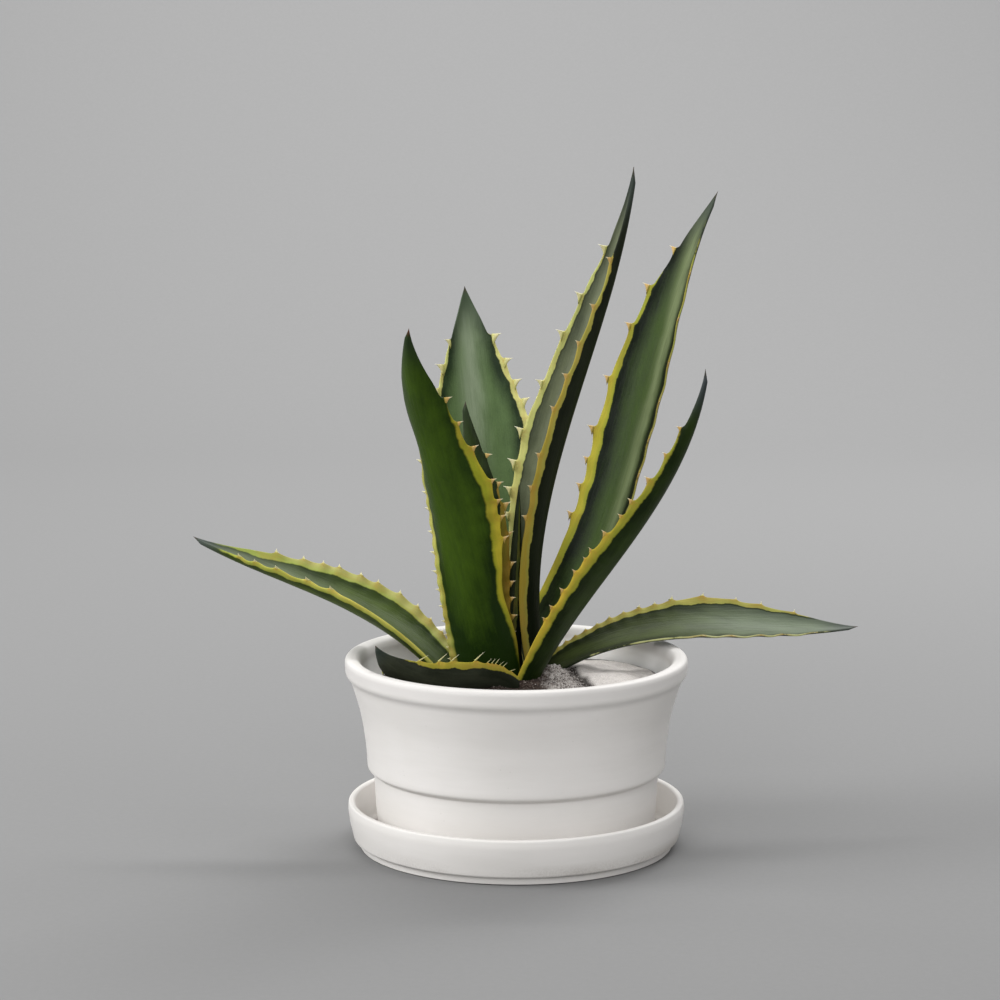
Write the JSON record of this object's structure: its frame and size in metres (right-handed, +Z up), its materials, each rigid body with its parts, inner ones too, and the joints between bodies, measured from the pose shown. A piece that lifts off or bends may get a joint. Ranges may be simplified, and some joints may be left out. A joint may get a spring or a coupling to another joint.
{
  "type": "potted agave",
  "caption": "Young variegated agave with toothed leaves in a round tapered pot with a rolled lip, standing in a matching saucer.",
  "frame": {"origin": "on the pot's axis, at the underside of the saucer", "axes": "+Z up along the pot's axis, +X to the right and +Y away from the viewer in the picture"},
  "size_m": [0.3993, 0.2, 0.3935],
  "materials": {
    "saucer": "matte off-white",
    "pot": "matte off-white",
    "soil": "loose dry peat and bark potting soil, granular and matte",
    "heart": "waxy living leaf, dark green",
    "leaf": "waxy living leaf, green with yellow toothed margins and a dark end spine"
  },
  "bodies": {
    "root": {"saucer": "saucer", "pot": "pot", "soil": "soil", "heart": "heart", "leaf_inner_left": "leaf", "leaf_tall_centre": "leaf", "leaf_back": "leaf", "leaf_tall_right": "leaf", "leaf_front_left": "leaf", "leaf_front_right": "leaf", "leaf_arching_right": "leaf", "leaf_low_left": "leaf", "leaf_short_front": "leaf"}
  },
  "joints": []
}
